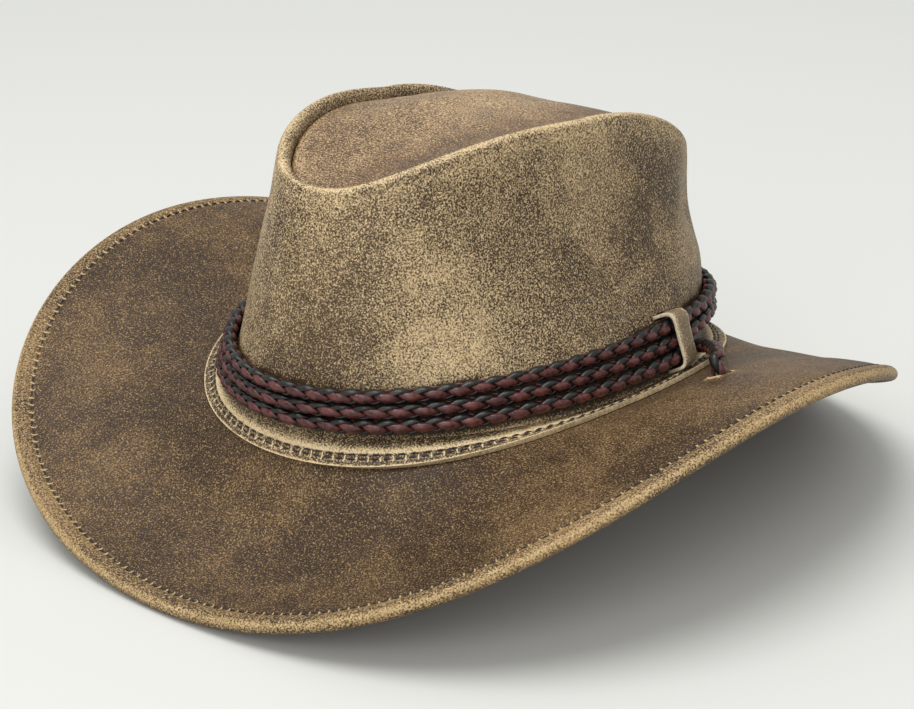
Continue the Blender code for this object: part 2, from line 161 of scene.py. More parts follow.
def leather_sheet(name, columns, rows, place, materials):
    """A grid laid on a formula of the angle round the hat and the row, which also tells where the
    leather is worn or painted with shade, and how many stitches and millimetres along and across a
    point lies."""
    bpy.ops.object.select_all(action="DESELECT")
    bpy.ops.mesh.primitive_grid_add(x_subdivisions=columns, y_subdivisions=rows - 1, size=2.0)
    sheet = bpy.context.object
    sheet.name = name
    sheet.data.name = name
    flat = np.empty(len(sheet.data.vertices) * 3)
    sheet.data.vertices.foreach_get("co", flat)
    flat = flat.reshape(-1, 3)
    u = flat[:, 0] * math.pi
    row = np.rint((flat[:, 1] / 2 + 0.5) * (rows - 1)).astype(int)
    points, wear_and_shade, laid = place(u, row)
    sheet.data.vertices.foreach_set("co", (points * MM).ravel())
    corners = np.empty(len(sheet.data.loops), dtype=np.int32)
    sheet.data.loops.foreach_get("vertex_index", corners)
    sheet.data.uv_layers.active.data.foreach_set("uv", laid[corners].ravel())
    wear_and_shade_layer = sheet.data.attributes.new("wear_and_shade", "FLOAT", "POINT")
    wear_and_shade_layer.data.foreach_set("value", np.clip(wear_and_shade, -0.5, 1.0))
    bpy.ops.object.mode_set(mode="EDIT")
    bpy.ops.mesh.select_all(action="SELECT")
    bpy.ops.mesh.remove_doubles(threshold=0.01 * MM)
    bpy.ops.object.mode_set(mode="OBJECT")
    for material in materials:
        sheet.data.materials.append(material)
    return sheet


def apply_modifiers(piece):
    bpy.ops.object.select_all(action="DESELECT")
    piece.select_set(True)
    bpy.context.view_layer.objects.active = piece
    for modifier in list(piece.modifiers):
        bpy.ops.object.modifier_apply(modifier=modifier.name)


def thicken(sheet, thickness, offset):
    """Give a sheet its leather: grain side, flesh side and cut edge are slots 0, 1 and 2."""
    solid = sheet.modifiers.new("thickness", "SOLIDIFY")
    solid.thickness = thickness * MM
    solid.offset = offset
    solid.use_even_offset = True
    solid.material_offset = 1
    solid.material_offset_rim = 2
    rounded = sheet.modifiers.new("rubbed edges", "BEVEL")
    rounded.limit_method = "ANGLE"
    rounded.angle_limit = math.radians(SHARP_ANGLE)
    rounded.width = RUBBED_EDGE * MM
    rounded.segments = 2
    apply_modifiers(sheet)
    bpy.ops.object.shade_smooth_by_angle(angle=math.radians(SMOOTH_ANGLE))


def slit(piece, centre, out, along, length, width, depth, raw):
    """Cut an oval slit through a leather, with a raw wall."""
    bpy.ops.object.select_all(action="DESELECT")
    bpy.ops.mesh.primitive_cylinder_add(vertices=32, radius=0.5, depth=1.0)
    punch = bpy.context.object
    across = np.cross(out, along)
    turned = Matrix([[along[k], across[k], out[k]] for k in range(3)]).to_4x4()
    sized = Matrix.Diagonal((length * MM, width * MM, depth * MM, 1.0))
    punch.matrix_world = Matrix.Translation(Vector(centre * MM)) @ turned @ sized
    punch.data.materials.append(raw)
    hole = piece.modifiers.new("slit", "BOOLEAN")
    hole.operation = "DIFFERENCE"
    hole.solver = "EXACT"
    hole.object = punch
    hole.material_mode = "TRANSFER"
    apply_modifiers(piece)
    bpy.data.objects.remove(punch, do_unlink=True)


def srgb(red, green, blue):
    """A colour as seen, 0 to 255, as the linear values of the shader."""
    values = np.array([red, green, blue]) / 255.0
    linear = np.where(values <= 0.04045, values / 12.92, ((values + 0.055) / 1.055) ** 2.4)
    return (*linear, 1.0)


def node(tree, kind, sockets, **settings):
    """One shader node: its sockets take a value or a link."""
    made = tree.nodes.new(kind)
    for name, value in settings.items():
        setattr(made, name, value)
    for socket, value in sockets.items():
        if isinstance(value, bpy.types.NodeSocket):
            tree.links.new(value, made.inputs[socket])
        else:
            made.inputs[socket].default_value = value
    return made


def new_material(name):
    """A material with its node tree, its shader and the place on the object."""
    material = bpy.data.materials.new(name)
    material.use_nodes = True
    tree = material.node_tree
    place = node(tree, "ShaderNodeTexCoord", {}).outputs["Object"]
    return material, tree, tree.nodes["Principled BSDF"], place


def steps_between(tree, value, low, high):
    """0 below low, 1 above high, smooth between."""
    return node(tree, "ShaderNodeMapRange", {"Value": value, "From Min": low, "From Max": high},
                interpolation_type="SMOOTHSTEP").outputs["Result"]


def grown(tree, place, scale, detail, roughness):
    return node(tree, "ShaderNodeTexNoise", {"Vector": place, "Scale": scale, "Detail": detail,
                                             "Roughness": roughness}).outputs["Fac"]


def blend(tree, share, first, second):
    """Mix two colours."""
    mixed = node(tree, "ShaderNodeMix", {0: share, 6: first, 7: second}, data_type="RGBA")
    return mixed.outputs[2]


def sums(tree, operation, first, second):
    return node(tree, "ShaderNodeMath", {0: first, 1: second}, operation=operation).outputs[0]


def plus(tree, base, value, share):
    """A value with a share of another added."""
    return sums(tree, "ADD", base, sums(tree, "MULTIPLY", value, share))


def two_tone(tree, shader, pattern, low, high, deep, pale):
    """Colour from deep to pale, as a pattern goes from low to high."""
    colour = blend(tree, steps_between(tree, pattern, low, high), deep, pale)
    tree.links.new(colour, shader.inputs["Base Color"])


def dulled(tree, shader, pattern, low, high, gloss):
    """Roughness from gloss to a little more, as a pattern goes from low to high."""
    rough = node(tree, "ShaderNodeMapRange", {"Value": pattern, "From Min": low, "From Max": high,
                                              "To Min": gloss, "To Max": gloss + 0.2})
    tree.links.new(rough.outputs["Result"], shader.inputs["Roughness"])


def raised(tree, shader, pattern, strength, height):
    """Relief of a pattern that is too fine to model, with its height in millimetres."""
    bump = node(tree, "ShaderNodeBump",
                {"Height": pattern, "Strength": strength, "Distance": height * MM})
    tree.links.new(bump.outputs["Normal"], shader.inputs["Normal"])


PATCHES = 17.0  # waves to the metre of the large pale places, the clouds in them and the grain
CLOUDS = 110.0
GRAIN = 1550.0
PATCH_EDGE = (0.38, 0.66)  # where each pattern starts to show and where it is full
SKIN_EDGE = (0.1, 0.75)
FLECK_EDGE = (0.6, 0.93)
RUB_EDGE = (1.25, 1.95)
CREAM_SHARE = 0.85
PUCKER_ALONG = (0.55, 0.1)  # how far the pull of a needle hole shows, none and full
PUCKER_ACROSS = (1.9, 0.6)


def distressed_leather(name, dark, brown, tan, cream, cover, patch, gloss,
                       seams=(), pitch=1.0, shine=0.32):
    """Oiled leather whose dark finish has cracked finely all over: tan shows through in specks, and
    cream where it is rubbed, stretched over a bend or pulled by the needle."""
    material, tree, shader, place = new_material(name)
    laid = place.node.outputs["UV"]
    # this attribute holds wear and also painted shade, which lowers the specks and the cream
    wear_and_shade = node(tree, "ShaderNodeAttribute", {}, attribute_name="wear_and_shade").outputs["Fac"]
    patches = grown(tree, place, PATCHES, 4.0, 0.62)
    clouds = grown(tree, place, CLOUDS, 4.0, 0.62)
    grain = grown(tree, place, GRAIN, 2.0, 0.6)
    pale = sums(tree, "MULTIPLY", steps_between(tree, patches, *PATCH_EDGE), patch)
    lightness = plus(tree, pale, clouds, 0.5)
    skin = blend(tree, steps_between(tree, lightness, *SKIN_EDGE), dark, brown)
    broken = plus(tree, plus(tree, grain, lightness, 0.24), wear_and_shade, 0.45)
    flecks = steps_between(tree, broken, FLECK_EDGE[0] - cover, FLECK_EDGE[1] - cover)
    colour = blend(tree, flecks, skin, tan)
    rubbed = plus(tree, wear_and_shade, grain, 2.2)
    relief = plus(tree, grain, clouds, 0.7)
    if seams:
        strands = node(tree, "ShaderNodeMapping",
                       {"Vector": laid, "Scale": (1.1 * pitch, 0.16, 1.0)})
        drawn = grown(tree, strands.outputs[0], 1.0, 2.0, 0.6)
        rubbed = plus(tree, rubbed, sums(tree, "MULTIPLY", drawn, wear_and_shade), 1.5)
        rubbed = plus(tree, rubbed, wear_and_shade, -0.75)
        split = node(tree, "ShaderNodeSeparateXYZ", {"Vector": laid})
        beside = sums(tree, "PINGPONG", split.outputs["X"], 0.5)
        needle = steps_between(tree, beside, PUCKER_ALONG[0] / pitch, PUCKER_ALONG[1] / pitch)
        for seam in seams:
            off = sums(tree, "ABSOLUTE", sums(tree, "SUBTRACT", split.outputs["Y"], seam), 0.0)
            pucker = sums(tree, "MULTIPLY", needle, steps_between(tree, off, *PUCKER_ACROSS))
            rubbed = plus(tree, rubbed, pucker, 0.95)
            relief = plus(tree, relief, pucker, 0.7)
    bare = sums(tree, "MULTIPLY", steps_between(tree, rubbed, *RUB_EDGE), CREAM_SHARE)
    tree.links.new(blend(tree, bare, colour, cream), shader.inputs["Base Color"])
    dulled(tree, shader, flecks, 0.0, 1.0, gloss)
    raised(tree, shader, relief, 0.5, 0.4)
    shader.inputs["Specular IOR Level"].default_value = shine
    return material


def bare_leather(name, deep, pale, roughness):
    """The fibrous flesh side or a cut edge, without any finish."""
    material, tree, shader, place = new_material(name)
    fibres = grown(tree, place, 900.0, 4.0, 0.7)
    clouds = grown(tree, place, 60.0, 4.0, 0.6)
    pattern = plus(tree, sums(tree, "MULTIPLY", fibres, 0.6), clouds, 0.4)
    two_tone(tree, shader, pattern, 0.36, 0.64, deep, pale)
    raised(tree, shader, fibres, 0.6, 0.4)
    shader.inputs["Roughness"].default_value = roughness
    return material


def stitch_counter(distance_of, lift, pitch, steps):
    """A function for the number of stitches sewn along the brim from the back up to an angle."""
    angles = np.linspace(-math.pi, math.pi, steps + 1)
    lengths = run_lengths(on_brim(angles, distance_of(angles), lift))
    count = round(lengths[-1] / pitch)

    def stitches(u):
        return np.interp(u, angles, lengths) / lengths[-1] * count

    return stitches


def hem_seam(u):
    return around(BRIM_WIDTH, u) - HEM_SEAM


hem_turns = stitch_counter(hem_seam, 0.0, HEM_PITCH, steps=720)


def brim_place(u, row):
    """Rows run from the hem's cut edge under the brim round the wire and over the top to the
    crown."""
    width = around(BRIM_WIDTH, u)
    radius = HEM_RADIUS + SLEEVE_SWELL * hump(np.degrees(u), SLEEVE_ANGLE, SLEEVE_SPREAD)
    hem_in = width - radius
    middle = -BRIM_LEATHER / 2
    bend = radius - BRIM_LEATHER / 2
    distance = np.zeros_like(u)
    lift = np.zeros_like(u)
    wear_and_shade = np.zeros_like(u)
    leg = row < HEM_LEG_ROWS
    leg_run = HEM_TURN - 2 * radius - BRIM_LEATHER
    distance[leg] = (width - HEM_TURN + row * leg_run / (HEM_LEG_ROWS - 1))[leg]
    lift[leg] = middle - BRIM_LEATHER - GAP
    first = HEM_LEG_ROWS + len(HEM_DEGREES)
    turned = ~leg & (row < first)
    angle = np.radians(HEM_DEGREES[np.clip(row - HEM_LEG_ROWS, 0, len(HEM_DEGREES) - 1)])
    distance[turned] = (hem_in + bend * np.cos(angle))[turned]
    lift[turned] = (-radius + bend * np.sin(angle))[turned]
    wear_and_shade[turned] = (0.07 + 0.4 * hump(angle, 0.45, 0.75))[turned]
    flat = row >= first
    share = np.clip((row - first) / (BRIM_ROWS - 1), 0.0, 1.0)
    distance[flat] = (hem_in + (BRIM_ROOT - hem_in) * share ** 1.35)[flat]
    lift[flat] = middle
    top = flat.astype(float)
    seam = width - HEM_SEAM - distance
    needle = 0.5 + 0.5 * np.cos(2 * math.pi * hem_turns(u))
    lift -= top * hump(seam, 0.0, SEAM_GROOVE) * (SEAM_DEPTH + NEEDLE_DEPTH * needle)
    lift += top * hump(seam, -PUFF_PLACE, PUFF_SPREAD) * PUFF
    wear_and_shade += top * (0.22 * np.clip(-seam / 1.2, 0.0, 1.0))
    for side in (-1, 1):
        beside = (u - side * math.radians(SLIT_ANGLE)) * (HEAD_WIDTH / 2 + SLIT_DISTANCE)
        beyond = distance - SLIT_DISTANCE
        away = np.hypot(beside / (SLIT_LENGTH / 2), beyond / (SLIT_WIDTH / 2))
        lift += top * SLIT_LIP * hump(away, 1.0, 0.5)
        wear_and_shade += top * 0.95 * hump(away, 1.0, 0.35)
    points = on_brim(u, distance, lift)
    from_hem = np.clip((hem_in - distance) / DENTS_FROM_HEM, 0.0, 1.0)
    from_crown = np.clip((distance - DENTS_FROM_CROWN) / DENTS_FROM_CROWN, 0.0, 1.0)
    points[:, 2] += top * from_hem * from_crown * rolling(points, BRIM_DENTS)
    across = np.where(flat, width - distance, 0.0)
    return points, wear_and_shade, np.stack([hem_turns(u), across], -1)


brim_grain = distressed_leather(
    "brim_grain", srgb(46, 30, 17), srgb(72, 51, 31), srgb(160, 130, 88), srgb(212, 186, 138),
    cover=0.07, patch=0.32, gloss=0.5, seams=(HEM_SEAM,), pitch=HEM_PITCH)
flesh_side = bare_leather("flesh_side", srgb(62, 47, 35), srgb(104, 83, 62), 0.85)
cut_edge = bare_leather("cut_edge", srgb(142, 120, 88), srgb(204, 182, 142), 0.8)
brim = leather_sheet("wired_brim", BRIM_COLUMNS, HEM_LEG_ROWS + len(HEM_DEGREES) + BRIM_ROWS,
                     brim_place, (brim_grain, flesh_side, cut_edge))
thicken(brim, BRIM_LEATHER, 0.0)
for side in (-1, 1):
    u = np.array(side * math.radians(SLIT_ANGLE))
    centre = on_brim(u, SLIT_DISTANCE, -BRIM_LEATHER / 2)
    out = unit(on_brim(u, SLIT_DISTANCE, 1.0) - on_brim(u, SLIT_DISTANCE, 0.0))
    along = on_brim(u + NEARBY, SLIT_DISTANCE, 0.0) - on_brim(u - NEARBY, SLIT_DISTANCE, 0.0)
    slit(brim, centre, out, square_to(out, along), SLIT_LENGTH, SLIT_WIDTH, SLIT_DEPTH, cut_edge)
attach(brim, "root")
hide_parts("brim")

# Hem stitches
# One row of dark waxed thread, sewn by machine through the brim and its turned edge, so that a
# stitch shows on both faces. The needle holes pull the leather into small light puckers.
THREAD = 0.72
STITCH_SHARE = 0.72  # how much of the pitch shows as thread
HEM_STITCH_SUNK = 0.4  # below the face, which the seam has pulled down
UNDER_STITCH_PROUD = 0.05
STITCH_TURN = 0.004  # step to either side of a stitch that gives its direction
ROW_STEPS = 1440


def thread_material(name, dark, light):
    material, tree, shader, place = new_material(name)
    twist = grown(tree, place, 1800.0, 2.0, 0.6)
    two_tone(tree, shader, twist, 0.4, 0.65, dark, light)
    raised(tree, shader, twist, 0.5, 0.2)
    shader.inputs["Roughness"].default_value = 0.6
    return material


def mesh_piece(name, points, faces, materials, face_materials=None):
    """One smooth piece from points in millimetres."""
    mesh = bpy.data.meshes.new(name)
    mesh.from_pydata((np.asarray(points) * MM).tolist(), [], faces)
    for material in materials:
        mesh.materials.append(material)
    if face_materials is not None:
        mesh.polygons.foreach_set("material_index", face_materials)
    mesh.shade_smooth()
    piece = bpy.data.objects.new(name, mesh)
    bpy.context.scene.collection.objects.link(piece)
    return piece


def sew(name, centres, alongs, outs, length, thread, material):
    """Rows of stitches: one is shaped from a ball, with blunt ends that dive into the needle holes,
    and its copies are laid on the leather."""
    bpy.ops.object.select_all(action="DESELECT")
    bpy.ops.mesh.primitive_uv_sphere_add(segments=6, ring_count=6, radius=1.0)
    ball = bpy.context.object
    shape = np.array([vertex.co[:] for vertex in ball.data.vertices])[:, [2, 1, 0]]
    shape[:, 0] = np.sign(shape[:, 0]) * np.abs(shape[:, 0]) ** 0.6
    shape *= np.array([length / 2, thread / 2, thread / 2])
    shape[:, 2] += 0.25 * thread - 0.9 * thread * (shape[:, 0] / (length / 2)) ** 2
    faces = [tuple(polygon.vertices)[::-1] for polygon in ball.data.polygons]
    bpy.data.objects.remove(ball, do_unlink=True)
    alongs = unit(alongs)
    outs = square_to(alongs, outs)
    axes = np.stack([alongs, np.cross(outs, alongs), outs], 1)
    points = (centres[:, None] + np.einsum("vk,nkd->nvd", shape, axes)).reshape(-1, 3)
    all_faces = [tuple(corner + i * len(shape) for corner in face)
                 for i in range(len(centres)) for face in faces]
    return mesh_piece(name, points, all_faces, [material])


def brim_row(distance_of, pitch, lift, facing):
    """Places, directions and outward sides of evenly spaced stitches along the brim."""
    def place(u):
        return on_brim(u, distance_of(u), lift)

    u = np.linspace(-math.pi, math.pi, ROW_STEPS + 1)
    lengths = run_lengths(place(u))
    count = round(lengths[-1] / pitch)
    at = np.interp((np.arange(count) + 0.5) / count * lengths[-1], lengths, u)
    centres = place(at)
    alongs = place(at + STITCH_TURN) - place(at - STITCH_TURN)
    outs = (on_brim(at, distance_of(at), lift + 1.0) - centres) * facing
    return centres, alongs, outs


waxed_thread = thread_material("waxed_thread", srgb(24, 20, 17), srgb(62, 52, 42))
top_row = brim_row(hem_seam, HEM_PITCH, -HEM_STITCH_SUNK, 1.0)
under_row = brim_row(hem_seam, HEM_PITCH, -2 * BRIM_LEATHER - GAP - UNDER_STITCH_PROUD, -1.0)
rows = [np.concatenate(pair) for pair in zip(top_row, under_row)]
hem_stitches = sew("hem_stitches", *rows, STITCH_SHARE * HEM_PITCH, THREAD, waxed_thread)
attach(hem_stitches, "root")

# Brim wire and its sleeve
# The springy steel wire lies inside the turned edge and keeps the curl of the brim. Its two ends
# meet in a short brass tube, and neither shows once the hem is sewn.


def drawn_metal(name, dark, bright, roughness):
    material, tree, shader, place = new_material(name)
    streaks = grown(tree, place, 700.0, 3.0, 0.6)
    two_tone(tree, shader, streaks, 0.35, 0.65, dark, bright)
    raised(tree, shader, streaks, 0.15, 0.1)
    shader.inputs["Roughness"].default_value = roughness
    shader.inputs["Metallic"].default_value = 1.0
    return material


spring_wire = drawn_metal("spring_wire", srgb(132, 132, 134), srgb(186, 186, 188), 0.32)
brass_tube = drawn_metal("brass_tube", srgb(156, 124, 62), srgb(206, 172, 102), 0.3)
for name, material in (("brim_wire", spring_wire), ("wire_sleeve", brass_tube)):
    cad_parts[name].data.materials.clear()
    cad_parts[name].data.materials.append(material)

# Crown wall
# The side of the crown, one piece of the same leather drawn over a block. Its foot is turned out
# and sewn on the brim, and its top is rolled inwards into a ridge that carries the top panel.
RIDGE_FRONT = 103.0
RIDGE_BACK = 81.5
RIDGE_WIDTH = 106.0
RIDGE_FLARE = 0.06  # share by which the ridge is wider in front and narrower behind
RIDGE_SQUARE = (2.76, 2.28)  # front and back
RIDGE_HEIGHT = (61.3, 103.7, 90.9)
LEFT_DIP = 9.0  # the ridge is pressed lower in front of the left side
LEFT_DIP_ANGLE = 60.0
LEFT_DIP_SPREAD = 40.0
RIDGE_ROLL = 2.7
RIDGE_LEG = 5.0
WALL_BULGE = (8.5, -7.8, 3.2)
PINCH_ANGLE = 36.0
PINCH_SPREAD = 13.0
PINCH_DEPTH = 7.5
PINCH_LEVEL = 0.72
PINCH_REACH = 0.2
FLANGE_WIDTH = 9.5
FLANGE_BEND = 2.4
FLANGE_CORNER = 0.6


def ridge(u):
    c = np.cos(u)
    s = np.sin(u)
    square = np.where(c > 0, RIDGE_SQUARE[0], RIDGE_SQUARE[1])
    middle = (RIDGE_BACK - RIDGE_FRONT) / 2
    half = (RIDGE_BACK + RIDGE_FRONT) / 2
    across = RIDGE_WIDTH / 2 * np.sign(s) * np.abs(s) ** (2.0 / square) * (1.0 + RIDGE_FLARE * c)
    along = middle - half * np.sign(c) * np.abs(c) ** (2.0 / square)
    turn = (np.degrees(u) - LEFT_DIP_ANGLE + 180.0) % 360.0 - 180.0
    height = around(RIDGE_HEIGHT, u) - LEFT_DIP * hump(turn, 0.0, LEFT_DIP_SPREAD)
    return np.stack([across, along, height], -1)


def ridge_outward(u):
    step = math.radians(1.5)
    run = ridge(u + step) - ridge(u - step)
    return unit(np.stack([run[..., 1], -run[..., 0], 0.0 * u], -1))


def wall_top(u):
    return ridge(u) - np.array([0.0, 0.0, RIDGE_ROLL])


def on_wall(u, share):
    """Points of the wall's outer face, from the brim (0) to the foot of the ridge roll (1)."""
    turn = np.abs((np.degrees(u) + 180.0) % 360.0 - 180.0)
    pinch = hump(turn, PINCH_ANGLE, PINCH_SPREAD) * hump(share, PINCH_LEVEL, PINCH_REACH)
    out = (around(WALL_BULGE, u) - PINCH_DEPTH * pinch) * 4.0 * share * (1.0 - share)
    share = np.asarray(share)[..., None]
    return crown_base(u) * (1.0 - share) + wall_top(u) * share + base_outward(u) * out[..., None]


def wall_outward(u, share):
    across = on_wall(u + NEARBY, share) - on_wall(u - NEARBY, share)
    upwards = on_wall(u, share + NEARBY) - on_wall(u, share - NEARBY)
    return unit(np.cross(across, upwards))


def wall_axes(u, share):
    """The wall's outward direction and the level one along it."""
    out = wall_outward(u, share)
    return out, square_to(out, on_wall(u + NEARBY, share) - on_wall(u - NEARBY, share))


def wall_share(u, height):
    return height / (wall_top(u)[..., 2] - crown_base(u)[..., 2])


def over_wall(u, height, out):
    """Points at a height over the brim, that far out of the wall's face."""
    share = wall_share(u, height)
    return on_wall(u, share) + wall_outward(u, share) * np.asarray(out)[..., None]


CROWN_COLUMNS = 400
FLANGE_ROWS = 12
BEND_ROWS = 10
WALL_ROWS = 44
ROLL_ROWS = 14
LEG_ROWS = 3
BAND_FOOT = 3.0  # the leather behind the hat band, from here up the wall
BAND_HEAD = 19.5
FLANGE_SEAMS = (6.4, 4.7)
FLANGE_PITCH = 4.7
FLANGE_GROOVE = 0.7
FLANGE_GROOVE_DEPTH = 0.35
ROLL_DEGREES = 165.0
FRAY = ((1 / 60.0, 0.16),)  # how the wear along the flange comes and goes
WALL_DENTS = ((38.0, 1.1), (15.0, 0.4))
WALL_FIRM = (0.2, 0.1)  # shares of the wall, at its foot and its top, where the dents fade
BAND_SHADE = 0.4


def seam_at(distance):
    """A line along the brim at one distance from the crown."""
    return lambda u: distance + 0.0 * u


flange_turns = stitch_counter(seam_at(FLANGE_SEAMS[0]), GAP + LEATHER, FLANGE_PITCH, steps=ROW_STEPS)


def crown_place(u, row):
    """Rows run from the flange's cut edge over the bend, the wall and the ridge to the inner
    leg."""
    lift = GAP + LEATHER
    points = np.zeros((len(u), 3))
    wear_and_shade = np.zeros(len(u))
    flange = row < FLANGE_ROWS
    share = row / FLANGE_ROWS
    distance = FLANGE_WIDTH + (BRIM_ROOT - FLANGE_WIDTH) * share
    grooves = sum(hump(distance, seam, FLANGE_GROOVE) for seam in FLANGE_SEAMS)
    points[flange] = on_brim(u, distance, lift - FLANGE_GROOVE_DEPTH * grooves)[flange]
    circle = np.stack([np.sin(u), np.cos(u), 0.0 * u], -1)
    frayed = rolling(circle, FRAY)
    edge_worn = 0.8 * hump(distance, FLANGE_WIDTH, 0.5)
    seam_worn = 0.12 * hump(distance, FLANGE_SEAMS[0] + 0.6, 0.7)
    root_worn = 0.46 * hump(distance, BRIM_ROOT - 0.4, 0.8)
    wear_and_shade[flange] = (-0.12 + edge_worn + seam_worn + root_worn + frayed)[flange]
    foot = on_brim(u, BRIM_ROOT, lift)
    corner = on_brim(u, FLANGE_CORNER, lift)
    start = wall_share(u, FLANGE_BEND)
    head = on_wall(u, start)
    bend = (row >= FLANGE_ROWS) & (row < FLANGE_ROWS + BEND_ROWS)
    t = ((row - FLANGE_ROWS) / BEND_ROWS)[:, None]
    curve = foot * (1 - t) ** 2 + corner * 2 * t * (1 - t) + head * t * t
    points[bend] = curve[bend]
    wear_and_shade[bend] = (0.62 * hump(t[:, 0], 0.0, 0.34) - 0.1 + frayed)[bend]
    first = FLANGE_ROWS + BEND_ROWS
    wall = (row >= first) & (row < first + WALL_ROWS)
    share = start + (1.0 - start) * np.clip((row - first) / WALL_ROWS, 0.0, 1.0)
    side = on_wall(u, share)
    from_foot = np.clip(share / WALL_FIRM[0], 0.0, 1.0)
    from_top = np.clip((1.0 - share) / WALL_FIRM[1], 0.0, 1.0)
    dents = from_foot * from_top * rolling(side, WALL_DENTS)
    outward = wall_outward(u, np.clip(share, 0.02, 0.98))
    points[wall] = (side + outward * dents[:, None])[wall]
    turned = np.degrees(u)
    # a paler patch low on the near side; painted shade: darker patches on the wall's right side and
    # at its back
    paler = 0.2 * hump(turned, -134.0, 22.0) * hump(share, 0.36, 0.3)
    painted_shade = 0.15 * hump(turned, -72.0, 20.0) * hump(share, 0.62, 0.25)
    painted_shade += 0.26 * hump((turned + 350.0) % 360.0 - 180.0, 0.0, 24.0) * hump(share, 0.45, 0.4)
    covered = (share > wall_share(u, BAND_FOOT)) & (share < wall_share(u, BAND_HEAD))
    # painted shade on the leather behind the hat band, which shows in the gaps between the cords
    painted_shade = np.where(covered, BAND_SHADE, painted_shade)
    wear_and_shade[wall] = (paler * ~covered - painted_shade + 0.14 * hump(share, 1.0, 0.04))[wall]
    first += WALL_ROWS
    roll = (row >= first) & (row < first + ROLL_ROWS)
    outward = ridge_outward(u)
    centre = wall_top(u) - outward * RIDGE_ROLL
    angle = np.radians(ROLL_DEGREES) * (row - first) / (ROLL_ROWS - 1)
    rounded = centre + outward * (RIDGE_ROLL * np.cos(angle))[:, None]
    rounded[:, 2] += RIDGE_ROLL * np.sin(angle)
    points[roll] = rounded[roll]
    wear_and_shade[roll] = (0.03 + 0.24 * hump(angle, 1.25, 0.5))[roll]
    first += ROLL_ROWS
    leg = row >= first
    down = centre - outward * RIDGE_ROLL
    down[:, 2] -= RIDGE_LEG * (row - first + 1) / LEG_ROWS
    points[leg] = down[leg]
    across = np.where(flange, distance, BRIM_ROOT - 0.5 * (row - FLANGE_ROWS))
    return points, wear_and_shade, np.stack([flange_turns(u), across], -1)


crown_grain = distressed_leather(
    "crown_grain", srgb(52, 37, 23), srgb(84, 64, 41), srgb(220, 193, 148), srgb(234, 213, 172),
    cover=0.12, patch=0.34, gloss=0.5, seams=FLANGE_SEAMS[:1], pitch=FLANGE_PITCH)
crown = leather_sheet("crown_side", CROWN_COLUMNS,
                      FLANGE_ROWS + BEND_ROWS + WALL_ROWS + ROLL_ROWS + LEG_ROWS,
                      crown_place, (crown_grain, flesh_side, cut_edge))
thicken(crown, LEATHER, -1.0)
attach(crown, "root")
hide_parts("crown_wall")

# Crown stitches
# Two close rows of the same dark thread hold the crown's flange on the brim. They go through both
# leathers, so the underside of the brim shows them too.
FLANGE_STITCH_SUNK = 0.18

crown_rows = [[], [], []]
for seam in FLANGE_SEAMS:
    for lift, facing in ((GAP + LEATHER - FLANGE_STITCH_SUNK, 1.0),
                         (-BRIM_LEATHER - UNDER_STITCH_PROUD, -1.0)):
        for kept, more in zip(crown_rows, brim_row(seam_at(seam), FLANGE_PITCH, lift, facing)):
            kept.append(more)
crown_rows = [np.concatenate(kept) for kept in crown_rows]
crown_stitches = sew("crown_stitches", *crown_rows, STITCH_SHARE * FLANGE_PITCH, THREAD,
                     waxed_thread)
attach(crown_stitches, "root")

# Crown tip
# The top panel, a separate oval of the same leather that is domed and sunk a little inside the
# ridge. Its rim is turned down and sewn against the ridge's inner leg.
TIP_SUNK = 1.5
TIP_CENTRE_HEIGHT = 102.2
TIP_COLUMNS = 320
TIP_LIP_ROWS = 6
TIP_ROWS = 44
TIP_LIP_STRAIGHT = 0.45  # share of the lip below its bend
TIP_DENTS = ((34.0, 1.0), (14.0, 0.35))
TIP_FIRM = 0.25


def tip_place(u, row):
    """Rows run from the lower edge of the lip over its bend to the middle of the panel."""
    outward = ridge_outward(u)
    seam = wall_top(u) - outward * (2 * RIDGE_ROLL + GAP)
    points = np.zeros((len(u), 3))
    wear_and_shade = np.zeros(len(u))
    lip = row < TIP_LIP_ROWS
    t = row / TIP_LIP_ROWS
    bend = np.clip((t - TIP_LIP_STRAIGHT) / (1.0 - TIP_LIP_STRAIGHT), 0.0, 1.0) * math.pi / 2
    edge = seam.copy()
    climbed = np.clip(t / TIP_LIP_STRAIGHT, 0.0, 1.0)
    edge[:, 2] -= RIDGE_LEG + (TIP_SUNK + LEATHER - RIDGE_LEG) * climbed
    edge -= outward * (LEATHER * (1 - np.cos(bend)))[:, None]
    edge[:, 2] += LEATHER * np.sin(bend)
    points[lip] = edge[lip]
    rim = seam - outward * LEATHER
    rim[:, 2] -= TIP_SUNK
    middle = np.array([0.0, (RIDGE_BACK - RIDGE_FRONT) / 2, TIP_CENTRE_HEIGHT])
    share = 1.0 - np.clip((row - TIP_LIP_ROWS) / (TIP_ROWS - 1), 0.0, 1.0)
    panel = middle + (rim - middle) * share[:, None]
    panel[:, 2] = middle[2] + (rim[:, 2] - middle[2]) * share ** 2
    panel[:, 2] += rolling(panel, TIP_DENTS) * np.clip((1.0 - share) / TIP_FIRM, 0.0, 1.0)
    points[~lip] = panel[~lip]
    # painted shade on the near right of the panel, close to its rim; the panel is also paler at its
    # rim and towards its middle
    near_right = np.clip(-np.sin(u), 0.0, 1.0) ** 0.5
    painted_shade = 0.22 * near_right * hump(share, 0.8, 0.22)
    wear_and_shade[~lip] = (0.1 * hump(share, 1.0, 0.05) - painted_shade + 0.14 * (1.0 - share))[~lip]
    return points, wear_and_shade, np.stack([u, share], -1)


tip_grain = distressed_leather(
    "tip_grain", srgb(72, 49, 29), srgb(110, 82, 53), srgb(204, 172, 128), srgb(226, 204, 162),
    cover=0.12, patch=0.30, gloss=0.38, shine=0.4)
tip = leather_sheet("crown_top", TIP_COLUMNS, TIP_LIP_ROWS + TIP_ROWS,
                    tip_place, (tip_grain, flesh_side, cut_edge))
thicken(tip, LEATHER, -1.0)
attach(tip, "root")
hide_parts("crown_tip")

